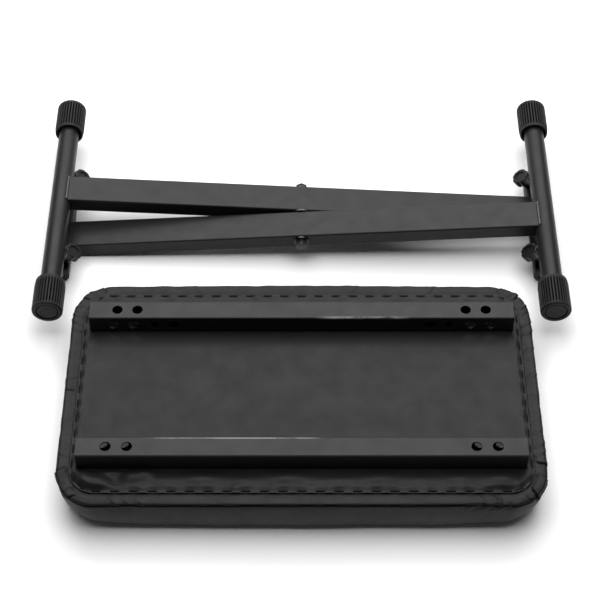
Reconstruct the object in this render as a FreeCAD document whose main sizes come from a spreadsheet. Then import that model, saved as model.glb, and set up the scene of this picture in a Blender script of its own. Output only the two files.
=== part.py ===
"""Folding X-frame piano bench, taken apart as it lies for storage: the padded seat face down,
and the folded frame face down behind it.

Millimetres. X is along the seat, Y is away from the seat's front edge, Z is up. The origin is the
middle of the footprint, on the surface that both pieces lie on.
"""

import FreeCAD, Part
import math
import os
import Sketcher

DIMENSIONS = {
    # padded seat, lying on its top face
    "seat_length": 536.0,
    "seat_depth": 308.0,
    "seat_height": 51.4,
    "seat_corner": 44.0,
    "seat_crown_edge": 13.0,
    "seat_hem_edge": 5.0,
    "seat_back_shift": 144.5,
    "vinyl": 1.2,
    "window_inset": 28.0,
    "board_length": 520.0,
    "board_depth": 292.0,
    "board_thick": 14.0,
    "lining_length": 504.0,
    "lining_depth": 274.0,
    "lining_thick": 0.6,
    "lining_corner": 30.0,
    "staple_length": 10.0,
    "staple_pitch": 20.0,
    "staple_wide": 1.3,
    "staple_high": 0.5,
    "staple_inset": 2.5,
    # seat rails and their holes
    "rail_side": 25.0,
    "rail_wall": 1.5,
    "rail_round": 2.0,
    "rail_length": 486.0,
    "rail_spread": 187.8,
    "pin_hole_r": 6.2,
    "pin_hole_first": 147.3,
    "pin_hole_pitch": 23.1,
    "access_r": 6.0,
    "access_first": 188.0,
    "access_pitch": 23.0,
    "screw_r": 3.0,
    "screw_head_r": 5.4,
    "screw_head_high": 3.0,
    "screw_length": 15.0,
    "tee_flange_r": 9.0,
    "tee_flange_thick": 1.2,
    "tee_barrel_r": 4.5,
    "tee_barrel_high": 9.0,
    # folded frame
    "frame_shift": 136.0,
    "fold_angle": 3.7,
    "pivot_to_bar": 294.6,
    "pivot_to_foot": 297.6,
    "leg_wide": 40.0,
    "leg_thick": 20.0,
    "leg_wall": 1.5,
    "leg_gap": 2.6,
    "foot_r": 12.5,
    "foot_length": 324.5,
    "bar_r": 11.0,
    "bar_length": 161.0,
    "tube_wall": 1.5,
    "foot_weld_r": 1.8,
    "bar_weld_r": 1.2,
    # rubber foot caps
    "cap_r": 18.25,
    "cap_mouth_r": 17.4,
    "cap_recess_r": 15.2,
    "cap_recess_deep": 5.0,
    "cap_taper": 7.0,
    "cap_length": 45.0,
    "cap_floor": 6.0,
    "cap_round": 2.5,
    "cap_dish_r": 13.6,
    "cap_dish_deep": 0.8,
    "cap_ring_deep": 1.9,
    "cap_ring_wide": 1.2,
    "vent_r": 0.8,
    "vent_out": 6.0,
    "groove_r": 1.15,
    "groove_out": 0.1,
    # pivot
    "bolt_r": 4.0,
    "bolt_head_high": 5.6,
    "bolt_tip": 0.6,
    "pivot_play": 0.05,
    "bush_r": 7.0,
    "washer_r": 9.0,
    "washer_thick": 1.6,
    "spacer_r": 11.9,
    "spacer_thick": 2.0,
    "nut_side": 13.0,
    "nut_high": 7.5,
    "crown_r": 8.06,
    "crown_in": 0.36,
    # locking pins and their knobs
    "pin_nose_r": 5.6,
    "pin_body_r": 9.2,
    "pin_body_length": 13.0,
    "pin_nose_length": 14.0,
    "pin_travel": 11.0,
    "guide_r": 5.9,
    "guide_length": 3.0,
    "knob_from_middle": 62.0,
    "knob_angle": 50.0,
    "knob_r": 11.0,
    "knob_high": 10.0,
    "knob_neck_r": 6.4,
    "knob_neck_high": 9.0,
    "knob_dish_r": 6.6,
    "knob_dish_deep": 1.4,
    "knob_round": 1.6,
    "flute_r": 4.4,
    "flute_out": 13.8,
    "stud_r": 3.0,
    "stud_play": 0.05,
    "stud_collar_r": 5.2,
    "stud_collar_high": 1.2,
    "stud_grip": 9.0,
    "slot_play": 0.5,
    "knob_gap": 0.3,
}

PIN_HOLES = 4
ACCESS_HOLES = 2
CAP_GROOVES = 32
KNOB_FLUTES = 5

doc = FreeCAD.newDocument("piano_bench")
sheet = doc.addObject("Spreadsheet::Sheet", "dims")
for row, (alias, number) in enumerate(DIMENSIONS.items(), start=1):
    sheet.set(f"A{row}", alias)
    sheet.set(f"B{row}", str(number))
    sheet.setAlias(f"B{row}", alias)
doc.recompute()

subparts = []


def dim(alias):
    return float(sheet.get(alias))


def vector(x, y, z):
    return FreeCAD.Vector(x, y, z)


def turn(axis, degrees):
    return FreeCAD.Rotation(vector(*axis), degrees)


def bind(thing, **expressions):
    """Binds properties to the sheet; pos_x, pos_y and pos_z are the placement's base."""
    for name, expression in expressions.items():
        target = name
        if name.startswith("pos_"):
            target = "Placement.Base." + name[-1]
        thing.setExpression(target, str(expression))
    return thing


def keep(thing, node, placement=None):
    """Marks an object as one sub-part of the bench, under its node's name."""
    thing.Label = node
    if placement is not None:
        thing.Placement = placement
    subparts.append(thing)
    return thing


def box(name, length, width, height, x, y, z):
    """A box whose low corner is at x, y, z."""
    solid = doc.addObject("Part::Box", name)
    return bind(solid, Length=length, Width=width, Height=height, pos_x=x, pos_y=y, pos_z=z)


def middle_box(name, length, width, height, x, y, z):
    """A box centred on x, y, z."""
    low = [f"({c}) - ({size}) / 2" for c, size in zip((x, y, z), (length, width, height))]
    return box(name, length, width, height, *low)


def rod(name, radius, length, x, y, z, rotation=None):
    """A cylinder that starts at x, y, z and runs along +Z, or along +Z turned by a rotation."""
    solid = doc.addObject("Part::Cylinder", name)
    if rotation is not None:
        solid.Placement.Rotation = rotation
    return bind(solid, Radius=radius, Height=length, pos_x=x, pos_y=y, pos_z=z)


def cut(name, base, tool):
    result = doc.addObject("Part::Cut", name)
    result.Base = base
    result.Tool = tool
    return result


def fuse(name, solids):
    result = doc.addObject("Part::MultiFuse", name)
    result.Shapes = solids
    return result


def group(name, solids):
    result = doc.addObject("Part::Compound", name)
    result.Links = solids
    return result


def plane(body, role):
    return next(p for p in body.Origin.OriginFeatures if p.Role == role)


def new_sketch(body, name, role, offset=None):
    sketch = body.newObject("Sketcher::SketchObject", name)
    sketch.AttachmentSupport = [(plane(body, role), "")]
    sketch.MapMode = "FlatFace"
    if offset is not None:
        sketch.setExpression("AttachmentOffset.Base.z", offset)
    return sketch


def constrain(sketch, kind, *arguments, to=None):
    """Adds a constraint, bound to an expression if there is one."""
    if to is None:
        return sketch.addConstraint(Sketcher.Constraint(kind, *arguments))
    index = sketch.addConstraint(Sketcher.Constraint(kind, *arguments, 10.0))
    sketch.setExpression(f"Constraints[{index}]", to)
    return index


def sketch_rectangle(sketch, length, width):
    """A rectangle centred on the sketch's origin."""
    corners = [vector(-9, -9, 0), vector(9, -9, 0), vector(9, 9, 0), vector(-9, 9, 0)]
    sides = []
    for start, end in zip(corners, corners[1:] + corners[:1]):
        sides.append(sketch.addGeometry(Part.LineSegment(start, end)))
    for first, second in zip(sides, sides[1:] + sides[:1]):
        constrain(sketch, "Coincident", first, 2, second, 1)
    for horizontal, vertical in ((sides[0], sides[1]), (sides[2], sides[3])):
        constrain(sketch, "Horizontal", horizontal)
        constrain(sketch, "Vertical", vertical)
    constrain(sketch, "Symmetric", sides[0], 1, sides[2], 1, -1, 1)
    constrain(sketch, "DistanceX", sides[0], 1, sides[0], 2, to=length)
    constrain(sketch, "DistanceY", sides[1], 1, sides[1], 2, to=width)


def sketch_circle(sketch, radius, out=None):
    """A circle on the sketch's origin, or on its X axis at a distance out."""
    circle = sketch.addGeometry(Part.Circle(vector(5 if out else 0, 0, 0), vector(0, 0, 1), 3))
    if out is None:
        constrain(sketch, "Coincident", circle, 3, -1, 1)
    else:
        constrain(sketch, "PointOnObject", circle, 3, -1)
        constrain(sketch, "DistanceX", -1, 1, circle, 3, to=out)
    constrain(sketch, "Radius", circle, to=radius)


def pad(body, sketch, length, middle=False):
    feature = body.newObject("PartDesign::Pad", sketch.Name + "_pad")
    feature.Profile = sketch
    feature.setExpression("Length", length)
    feature.Midplane = middle
    body.Tip = feature
    return feature


def straight_edges(shape, want):
    """The names of a shape's edges whose middle and direction satisfy a test."""
    names = []
    for number, edge in enumerate(shape.Edges, start=1):
        middle = edge.valueAt((edge.FirstParameter + edge.LastParameter) / 2)
        if want(edge, middle):
            names.append(f"Edge{number}")
    return names


def upright(edge, middle):
    start, end = edge.Vertexes[0].Point, edge.Vertexes[-1].Point
    return abs(start.z - end.z) > 0.1 and math.hypot(start.x - end.x, start.y - end.y) < 0.01


def fillet(body, base, names, radius):
    feature = body.newObject("PartDesign::Fillet", base.Name + "_round")
    feature.Base = (base, names)
    feature.setExpression("Radius", radius)
    body.Tip = feature
    doc.recompute()
    return feature


def rounded_slab(name, length, width, height, corner, low_edge=None, high_edge=None):
    """A slab on the XY plane, rounded in plan, and along its low and high outlines."""
    body = doc.addObject("PartDesign::Body", name)
    sketch = new_sketch(body, name + "_plan", "XY_Plane")
    sketch_rectangle(sketch, length, width)
    top = pad(body, sketch, height)
    doc.recompute()
    top = fillet(body, top, straight_edges(top.Shape, upright), corner)
    for edge_radius, high in ((low_edge, False), (high_edge, True)):
        if edge_radius is None:
            continue
        level = top.Shape.BoundBox.ZMax if high else top.Shape.BoundBox.ZMin
        rim = straight_edges(top.Shape, lambda edge, middle: abs(middle.z - level) < 0.01)
        top = fillet(body, top, rim, edge_radius)
    return body


# ---------------------------------------------------------------- padded seat

SEAT_PLACE = FreeCAD.Placement(vector(0, -dim("seat_back_shift"), 0), FreeCAD.Rotation())


def seat_node(thing, node):
    return bind(keep(thing, node, SEAT_PLACE), pos_y="-dims.seat_back_shift")


def seat_cushion(name, inset, low_inset):
    """The cushion's outer form, or its hollow inside the vinyl."""
    body = rounded_slab(
        name,
        f"dims.seat_length - 2 * ({inset})",
        f"dims.seat_depth - 2 * ({inset})",
        f"dims.seat_height - 2 * ({inset})",
        f"dims.seat_corner - ({inset})",
        f"dims.seat_crown_edge - ({inset})",
        f"dims.seat_hem_edge - ({inset})",
    )
    return bind(body, pos_z=low_inset)


screw_lengths = "dims.access_first", "dims.access_first + dims.access_pitch"
screw_places = [
    (f"{side} * ({along})", f"{rail} * dims.rail_spread / 2")
    for rail in (-1, 1)
    for side in (-1, 1)
    for along in screw_lengths
]

outer_form = seat_cushion("cushion_outer", "0", "0")
hollow_form = seat_cushion("cushion_hollow", "dims.vinyl", "dims.vinyl")
window = middle_box(
    "cover_window",
    "dims.seat_length - 2 * dims.window_inset",
    "dims.seat_depth - 2 * dims.window_inset",
    "4 * dims.vinyl",
    "0",
    "0",
    "dims.seat_height",
)
cover = cut("cover_shell", outer_form, fuse("cover_inside", [hollow_form, window]))
seat_node(cover, "seat_cover")

board_top = "(dims.seat_height - dims.vinyl)"
rail_seat = "(dims.seat_height + dims.lining_thick)"

board_blank = rounded_slab(
    "board_blank", "dims.board_length", "dims.board_depth", "dims.board_thick", "dims.seat_corner - 8"
)
bind(board_blank, pos_z=f"{board_top} - dims.board_thick")
foam_block = seat_cushion("foam_block", "dims.vinyl", "dims.vinyl")
foam = cut("foam_shape", foam_block, board_blank)
seat_node(foam, "seat_foam")

screws = []
tee_nuts = []
screw_bores = []
for number, (x, y) in enumerate(screw_places):
    head_seat = f"{rail_seat} + dims.rail_wall"
    shank = rod(f"screw_shank_{number}", "dims.screw_r", "dims.screw_length",
                x, y, f"{head_seat} - dims.screw_length")
    head = rod(f"screw_head_{number}", "dims.screw_head_r", "dims.screw_head_high", x, y, head_seat)
    recess = rod(f"screw_recess_{number}", "dims.screw_r / 2", "dims.screw_head_high",
                 x, y, f"{head_seat} + dims.screw_head_high / 2")
    screws.append(cut(f"screw_{number}", fuse(f"screw_blank_{number}", [shank, head]), recess))
    nut_low = f"{board_top} - dims.board_thick"
    flange = rod(f"tee_flange_{number}", "dims.tee_flange_r", "dims.tee_flange_thick", x, y, nut_low)
    barrel = rod(f"tee_barrel_{number}", "dims.tee_barrel_r", "dims.tee_barrel_high", x, y, nut_low)
    bore = rod(f"screw_bore_{number}", "dims.screw_r", "dims.board_thick + 4 * dims.vinyl",
               x, y, nut_low)
    tee_blank = fuse(f"tee_blank_{number}", [flange, barrel])
    tee_nuts.append(cut(f"tee_nut_{number}", tee_blank, bore))
    screw_bores += [bore, tee_blank]

board = cut("board_shape", board_blank, fuse("board_bores", screw_bores))
seat_node(board, "seat_board")
seat_node(group("rail_screw_set", screws), "rail_screws")
seat_node(group("tee_nut_set", tee_nuts), "tee_nuts")

lining_sheet = rounded_slab("lining_sheet", "dims.lining_length", "dims.lining_depth",
                            "dims.lining_thick", "dims.lining_corner")
bind(lining_sheet, pos_z="dims.seat_height")
lining_middle = middle_box(
    "lining_middle",
    "dims.seat_length - 2 * dims.window_inset",
    "dims.seat_depth - 2 * dims.window_inset",
    "dims.vinyl + dims.lining_thick",
    "0",
    "0",
    "dims.seat_height + (dims.lining_thick - dims.vinyl) / 2",
)
lining = cut("lining_shape", fuse("lining_blank", [lining_sheet, lining_middle]),
             fuse("lining_bores", screw_bores[::2]))
seat_node(lining, "underside_lining")


def staple(name, x, y, heading):
    """One staple's crown, centred on x, y and turned to a heading in degrees."""
    crown = doc.addObject("Part::Box", name)
    crown.Placement.Rotation = turn((0, 0, 1), heading)
    ahead = f"(dims.staple_length / 2 * cos({heading}deg) - dims.staple_wide / 2 * sin({heading}deg))"
    aside = f"(dims.staple_length / 2 * sin({heading}deg) + dims.staple_wide / 2 * cos({heading}deg))"
    return bind(crown, Length="dims.staple_length", Width="dims.staple_wide",
                Height="dims.staple_high", pos_x=f"({x}) - {ahead}", pos_y=f"({y}) - {aside}",
                pos_z=rail_seat)


line_r = "(dims.lining_corner - dims.staple_inset)"
run_x = "(dims.lining_length / 2 - dims.lining_corner)"
run_y = "(dims.lining_depth / 2 - dims.lining_corner)"


def staple_rows(name, run, half_line, heading):
    """Two straight rows of staples, on both sides of the seat, centred on it."""
    count = int(2 * run / dim("staple_pitch")) + 1
    row = []
    for side in (-1, 1):
        for number in range(count):
            along = f"({number} - ({count} - 1) / 2) * dims.staple_pitch"
            line = f"{side} * ({half_line} + {line_r})"
            place = (along, line) if heading == 0 else (line, along)
            row.append(staple(f"{name}_{'ab'[side > 0]}_{number}", *place, heading))
    return row


staples = staple_rows("staple_long", dim("lining_length") / 2 - dim("lining_corner"), run_y, 0)
staples += staple_rows("staple_short", dim("lining_depth") / 2 - dim("lining_corner"), run_x, 90)
for corner in range(4):
    for number, offset in enumerate((22.5, 67.5)):
        around = 90 * corner + offset
        side_x = 1 if corner in (0, 3) else -1
        side_y = 1 if corner < 2 else -1
        staples.append(staple(
            f"staple_corner_{corner}_{number}",
            f"{side_x} * {run_x} + {line_r} * cos({around}deg)",
            f"{side_y} * {run_y} + {line_r} * sin({around}deg)",
            around + 90,
        ))
seat_node(group("staple_set", staples), "staples")


def seat_rail(node, side):
    """A square steel tube, open at both ends, with pin holes on its inner face."""
    body = doc.addObject("PartDesign::Body", node + "_tube")
    section = new_sketch(body, node + "_section", "YZ_Plane")
    sketch_rectangle(section, "dims.rail_side", "dims.rail_side")
    outside = pad(body, section, "dims.rail_length", middle=True)
    doc.recompute()
    long_edges = straight_edges(outside.Shape, lambda edge, middle: edge.Length > 30)
    fillet(body, outside, long_edges, "dims.rail_round")
    centre_y = f"{side} * dims.rail_spread / 2"
    centre_z = f"({rail_seat} + dims.rail_side / 2)"
    bind(body, pos_y=centre_y, pos_z=centre_z)
    inner = "(dims.rail_side - 2 * dims.rail_wall)"
    tools = [middle_box(node + "_bore", "dims.rail_length + 10", inner, inner, "0", centre_y, centre_z)]
    inward = turn((1, 0, 0), 90 * side)
    for end in (-1, 1):
        for number in range(PIN_HOLES):
            x = f"{end} * (dims.pin_hole_first + {number} * dims.pin_hole_pitch)"
            tools.append(rod(f"{node}_pin_hole_{number}_{'ab'[end > 0]}", "dims.pin_hole_r",
                             "dims.rail_side", x, centre_y, centre_z, inward))
        for number in range(ACCESS_HOLES):
            x = f"{end} * (dims.access_first + {number} * dims.access_pitch)"
            name = f"{number}_{'ab'[end > 0]}"
            tools.append(rod(f"{node}_access_{name}", "dims.access_r", "dims.rail_side",
                             x, centre_y, centre_z))
            tools.append(rod(f"{node}_screw_hole_{name}", "dims.screw_r", "dims.rail_side",
                             x, centre_y, f"{rail_seat} - 1"))
    seat_node(cut(node + "_shape", body, fuse(node + "_tools", tools)), node)


seat_rail("seat_rail_front", -1)
seat_rail("seat_rail_rear", 1)


# ---------------------------------------------------------------- folded frame
# Each leg is built in its own frame: its origin is on the pivot, x runs to its foot, z to the face
# that lies uppermost, and the leg is on the -y side. The two legs are the same piece, half a turn
# apart about Z.

PIVOT = "(dims.bar_r + dims.pivot_to_bar * sin(dims.fold_angle * 1deg))"
PIVOT_Z = dim("bar_r") + dim("pivot_to_bar") * math.sin(math.radians(dim("fold_angle")))
ALONG_Y = turn((1, 0, 0), -90)
UP_PLACE = FreeCAD.Rotation()


def leg_place(half_turn):
    rotation = turn((0, 0, 1), half_turn) * turn((0, 1, 0), -dim("fold_angle"))
    return FreeCAD.Placement(vector(0, dim("frame_shift"), PIVOT_Z), rotation)


def frame_node(thing, node, place):
    return bind(keep(thing, node, place), pos_y="dims.frame_shift", pos_z=PIVOT)


def along_y(name, radius, length, x, middle_y, z):
    """A cylinder along y, centred on middle_y."""
    return rod(name, radius, length, x, f"({middle_y}) - ({length}) / 2", z, ALONG_Y)


leg_y = "(-dims.leg_gap / 2 - dims.leg_wide / 2)"
bar_x = "(-dims.pivot_to_bar)"
foot_x = "dims.pivot_to_foot"
leg_span = "(dims.pivot_to_bar + dims.pivot_to_foot)"
leg_middle = "(dims.pivot_to_foot - dims.pivot_to_bar) / 2"


def leg_tube(leg, place):
    """A rectangular tube, coped round the foot tube at one end and the top bar at the other."""
    blank = middle_box(f"leg_blank_{leg}", leg_span, "dims.leg_wide", "dims.leg_thick",
                       leg_middle, leg_y, "0")
    softened = doc.addObject("Part::Fillet", f"leg_round_{leg}")
    softened.Base = blank
    doc.recompute()
    softened.Edges = [
        (number, 2.0, 2.0) for number, edge in enumerate(blank.Shape.Edges, start=1) if edge.Length > 100
    ]
    bore = middle_box(f"leg_bore_{leg}", leg_span, "dims.leg_wide - 2 * dims.leg_wall",
                      "dims.leg_thick - 2 * dims.leg_wall", leg_middle, leg_y, "0")
    tools = [
        bore,
        along_y(f"foot_cope_{leg}", "dims.foot_r", "2 * dims.leg_wide", foot_x, leg_y, "0"),
        along_y(f"bar_cope_{leg}", "dims.bar_r", "2 * dims.leg_wide", bar_x, leg_y, "0"),
        along_y(f"bush_hole_{leg}", "dims.bush_r", "2 * dims.leg_wide", "0", leg_y, "0"),
    ]
    frame_node(cut(f"leg_shape_{leg}", softened, fuse(f"leg_tools_{leg}", tools)),
               f"leg_tube_{leg}", place)


def weld_beads(leg, place):
    """Beads where the leg's two wide faces meet the foot tube and the top bar."""
    half = "dims.leg_thick / 2"
    foot_reach = f"({foot_x} - sqrt(dims.foot_r ^ 2 - ({half}) ^ 2))"
    bar_reach = f"({bar_x} + sqrt(dims.bar_r ^ 2 - ({half}) ^ 2))"
    beads = []
    for end, radius, x in (("foot", "dims.foot_weld_r", foot_reach), ("bar", "dims.bar_weld_r", bar_reach)):
        for side in (-1, 1):
            beads.append(along_y(f"bead_{end}_{leg}_{'ab'[side > 0]}", radius, "dims.leg_wide - 3",
                                 x, leg_y, f"{side} * ({half})"))
    body = middle_box(f"bead_leg_{leg}", leg_span, "dims.leg_wide", "dims.leg_thick",
                      leg_middle, leg_y, "0")
    foot = along_y(f"bead_foot_{leg}", "dims.foot_r", "2 * dims.leg_wide", foot_x, leg_y, "0")
    bar = along_y(f"bead_bar_{leg}", "dims.bar_r", "2 * dims.leg_wide", bar_x, leg_y, "0")
    shape = cut(f"bead_shape_{leg}", group(f"bead_set_{leg}", beads),
                fuse(f"bead_trim_{leg}", [body, foot, bar]))
    frame_node(shape, f"weld_beads_{leg}", place)


def foot_tube(leg, place):
    outside = along_y(f"foot_outside_{leg}", "dims.foot_r", "dims.foot_length", foot_x, "0", "0")
    inside = along_y(f"foot_inside_{leg}", "dims.foot_r - dims.tube_wall", "dims.foot_length + 10",
                     foot_x, "0", "0")
    frame_node(cut(f"foot_shape_{leg}", outside, inside), f"foot_tube_{leg}", place)


# turns +Z onto the knobs' axis, which leans from the leg's uppermost face towards the pivot
KNOB_TURN = turn((0, 1, 0), 90 - dim("knob_angle"))


def top_bar(leg, place):
    """A round tube with one slot for each knob's stud."""
    outside = along_y(f"bar_outside_{leg}", "dims.bar_r", "dims.bar_length", bar_x, "0", "0")
    tools = [along_y(f"bar_inside_{leg}", "dims.bar_r - dims.tube_wall", "dims.bar_length + 10",
                     bar_x, "0", "0")]
    slot_r = "(dims.stud_r + dims.slot_play)"
    for side in (-1, 1):
        name = f"{leg}_{'ab'[side > 0]}"
        near = f"{side} * dims.knob_from_middle"
        far = f"{side} * (dims.knob_from_middle + dims.pin_travel)"
        for end, y in (("near", near), ("far", far)):
            tools.append(rod(f"slot_{end}_{name}", slot_r, "dims.bar_r + 5", bar_x, y, "0",
                             KNOB_TURN))
        between = doc.addObject("Part::Box", f"slot_between_{name}")
        between.Placement.Rotation = KNOB_TURN
        lean = "((90 - dims.knob_angle) * 1deg)"
        bind(between, Length=f"2 * {slot_r}", Width="dims.pin_travel", Height="dims.bar_r + 5",
             pos_x=f"{bar_x} - {slot_r} * cos({lean})",
             pos_y=f"{side} * (dims.knob_from_middle + dims.pin_travel / 2) - dims.pin_travel / 2",
             pos_z=f"{slot_r} * sin({lean})")
        tools.append(between)
    frame_node(cut(f"bar_shape_{leg}", outside, fuse(f"bar_tools_{leg}", tools)),
               f"top_bar_{leg}", place)


def pivot_bush(leg, place):
    outside = along_y(f"bush_outside_{leg}", "dims.bush_r", "dims.leg_wide", "0", leg_y, "0")
    inside = along_y(f"bush_inside_{leg}", "dims.bolt_r + dims.pivot_play", "dims.leg_wide + 10",
                     "0", leg_y, "0")
    frame_node(cut(f"bush_shape_{leg}", outside, inside), f"pivot_bush_{leg}", place)


def cap_profile(sketch):
    """Half the section of a cap: radius along x, length along y, its mouth at y = 0."""
    bore, mouth, wide = dim("foot_r"), dim("cap_mouth_r"), dim("cap_r")
    recess_r, recess, taper = dim("cap_recess_r"), dim("cap_recess_deep"), dim("cap_taper")
    long, floor, rim = dim("cap_length"), dim("cap_floor"), dim("cap_round")
    dish_r, dish = dim("cap_dish_r"), dim("cap_dish_deep")
    ring, ring_wide = dim("cap_ring_deep"), dim("cap_ring_wide")
    corner = vector(wide - rim, long - rim, 0)
    outline = [(bore, recess), (recess_r, recess), (recess_r, 0), (mouth, 0), (wide, taper),
               (wide, long - rim)]
    rest = [(wide - rim, long), (dish_r, long), (dish_r, long - ring),
            (dish_r - ring_wide, long - ring), (dish_r - 1.5 * ring_wide, long - dish),
            (0, long - dish), (0, long - floor), (bore, long - floor), (bore, recess)]
    for points in (outline, rest):
        for start, end in zip(points, points[1:]):
            sketch.addGeometry(Part.LineSegment(vector(*start, 0), vector(*end, 0)))
    circle = Part.Circle(corner, vector(0, 0, 1), rim)
    sketch.addGeometry(Part.ArcOfCircle(circle, 0, math.pi / 2))


def foot_cap(node, place, side):
    """A ribbed rubber cap pushed over the foot tube, closed at its outer end."""
    body = doc.addObject("PartDesign::Body", node + "_body")
    profile = new_sketch(body, node + "_profile", "XZ_Plane")
    cap_profile(profile)
    turned = body.newObject("PartDesign::Revolution", node + "_turned")
    turned.Profile = profile
    turned.ReferenceAxis = (profile, ["V_Axis"])
    turned.Angle = 360
    body.Tip = turned
    doc.recompute()
    whole = turned.Shape.Volume
    groove = new_sketch(body, node + "_groove", "XY_Plane")
    sketch_circle(groove, "dims.groove_r", out="dims.cap_r + dims.groove_out")
    pocket = body.newObject("PartDesign::Pocket", node + "_groove_cut")
    pocket.Profile = groove
    pocket.Reversed = True
    pocket.setExpression("Length", "dims.cap_length - dims.cap_round / 2")
    body.Tip = pocket
    doc.recompute()
    if pocket.Shape.Volume >= whole:
        raise RuntimeError(f"{node}: the groove cuts nothing")
    ribs = body.newObject("PartDesign::PolarPattern", node + "_grooves")
    ribs.Originals = [pocket]
    ribs.Axis = (groove, ["N_Axis"])
    ribs.Angle = 360
    ribs.Occurrences = CAP_GROOVES
    body.Tip = ribs
    doc.recompute()
    vent = rod(node + "_vent", "dims.vent_r", "3", "dims.vent_out", "0", "dims.cap_length - 3")
    # the mouth is a cap's length in from the tube's end, less the thickness of the cap's floor
    out_y = side * (dim("foot_length") / 2 + dim("cap_floor") - dim("cap_length"))
    spot = FreeCAD.Placement(vector(dim("pivot_to_foot"), out_y, 0), turn((1, 0, 0), -90 * side))
    keep(cut(node + "_shape", body, vent), node, place.multiply(spot))


def pin_guide(node, place, side):
    """A plastic ring in the bar's end that the pin's nose slides through."""
    middle = f"{side} * (dims.bar_length - dims.guide_length) / 2"
    outside = along_y(node + "_outside", "dims.bar_r - dims.tube_wall", "dims.guide_length",
                      bar_x, middle, "0")
    inside = along_y(node + "_inside", "dims.guide_r", "dims.guide_length + 4", bar_x, middle, "0")
    frame_node(cut(node + "_shape", outside, inside), node, place)


def locking_pin(node, place, side):
    """A stepped steel pin: a body that the stud screws into, and the nose that enters a rail."""
    behind = "(dims.knob_from_middle - 9)"
    body = along_y(node + "_body", "dims.pin_body_r", "dims.pin_body_length", bar_x,
                   f"{side} * ({behind} + dims.pin_body_length / 2)", "0")
    nose = doc.addObject("Part::Cylinder", node + "_nose")
    nose.Placement.Rotation = turn((1, 0, 0), -90 * side)
    bind(nose, Radius="dims.pin_nose_r", Height="dims.pin_body_length + dims.pin_nose_length",
         pos_x=bar_x, pos_y=f"{side} * {behind}", pos_z="0")
    hole = rod(node + "_hole", "dims.stud_r + dims.stud_play", "4 * dims.stud_grip", bar_x,
               f"{side} * dims.knob_from_middle", "0", KNOB_TURN)
    tip = doc.addObject("Part::Chamfer", node + "_tip")
    tip.Base = nose
    doc.recompute()
    rims = [n for n, edge in enumerate(nose.Shape.Edges, start=1) if edge.Closed]
    far = max(rims, key=lambda n: abs(nose.Shape.Edges[n - 1].CenterOfMass.y))
    tip.Edges = [(far, 0.8, 0.8)]
    frame_node(cut(node + "_shape", fuse(node + "_blank", [body, tip]), hole), node, place)


def knob_axis_place(place, side, out):
    """The knob's own frame, z along its axis, its origin out from the bar's axis."""
    spot = FreeCAD.Placement(vector(-dim("pivot_to_bar"), side * dim("knob_from_middle"), 0),
                             KNOB_TURN)
    return place.multiply(spot).multiply(FreeCAD.Placement(vector(0, 0, out), FreeCAD.Rotation()))


def star_knob(node, place, side):
    """A moulded hand knob: a fluted head with a dished face, on a round neck."""
    body = doc.addObject("PartDesign::Body", node + "_body")
    neck_sketch = new_sketch(body, node + "_neck", "XY_Plane")
    sketch_circle(neck_sketch, "dims.knob_neck_r")
    pad(body, neck_sketch, "dims.knob_neck_high + 1")
    doc.recompute()
    head_sketch = new_sketch(body, node + "_head", "XY_Plane", "dims.knob_neck_high")
    sketch_circle(head_sketch, "dims.knob_r")
    head = pad(body, head_sketch, "dims.knob_high")
    doc.recompute()
    level = head.Shape.BoundBox.ZMax
    rims = straight_edges(
        head.Shape,
        lambda edge, middle: edge.Closed and math.hypot(middle.x, middle.y) > dim("knob_neck_r") + 1,
    )
    rounded = fillet(body, head, rims, "dims.knob_round")
    flute_sketch = new_sketch(body, node + "_flute", "XY_Plane", "dims.knob_neck_high - 1")
    sketch_circle(flute_sketch, "dims.flute_r", out="dims.flute_out")
    flute = body.newObject("PartDesign::Pocket", node + "_flute_cut")
    flute.Profile = flute_sketch
    flute.Reversed = True
    flute.setExpression("Length", "dims.knob_high + 2")
    body.Tip = flute
    doc.recompute()
    if flute.Shape.Volume >= rounded.Shape.Volume:
        raise RuntimeError(f"{node}: the flute cuts nothing")
    flutes = body.newObject("PartDesign::PolarPattern", node + "_flutes")
    flutes.Originals = [flute]
    flutes.Axis = (flute_sketch, ["N_Axis"])
    flutes.Angle = 360
    flutes.Occurrences = KNOB_FLUTES
    body.Tip = flutes
    doc.recompute()
    dish = rod(node + "_dish", "dims.knob_dish_r", "10", "0", "0",
               "dims.knob_neck_high + dims.knob_high - dims.knob_dish_deep")
    bore = rod(node + "_bore", "dims.stud_r", "dims.knob_neck_high + dims.knob_high / 2", "0", "0", "0")
    out = dim("bar_r") + dim("knob_gap") + dim("stud_collar_high")
    shape = cut(node + "_shape", body, fuse(node + "_hollows", [dish, bore]))
    keep(shape, node, knob_axis_place(place, side, out))


def knob_stud(node, place, side):
    """The knob's bright screw, with a collar that bears on the bar."""
    collar = rod(node + "_collar", "dims.stud_collar_r", "dims.stud_collar_high", "0", "0",
                 "dims.bar_r + dims.knob_gap")
    shank = rod(node + "_shank", "dims.stud_r",
                "dims.bar_r + dims.knob_gap + dims.stud_collar_high + dims.knob_neck_high"
                " + dims.knob_high / 2 - dims.bar_r + dims.stud_grip",
                "0", "0", "dims.bar_r - dims.stud_grip")
    shape = fuse(node + "_shape", [collar, shank])
    keep(shape, node, knob_axis_place(place, side, 0))


LEGS = {"a": 180, "b": 0}

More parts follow.
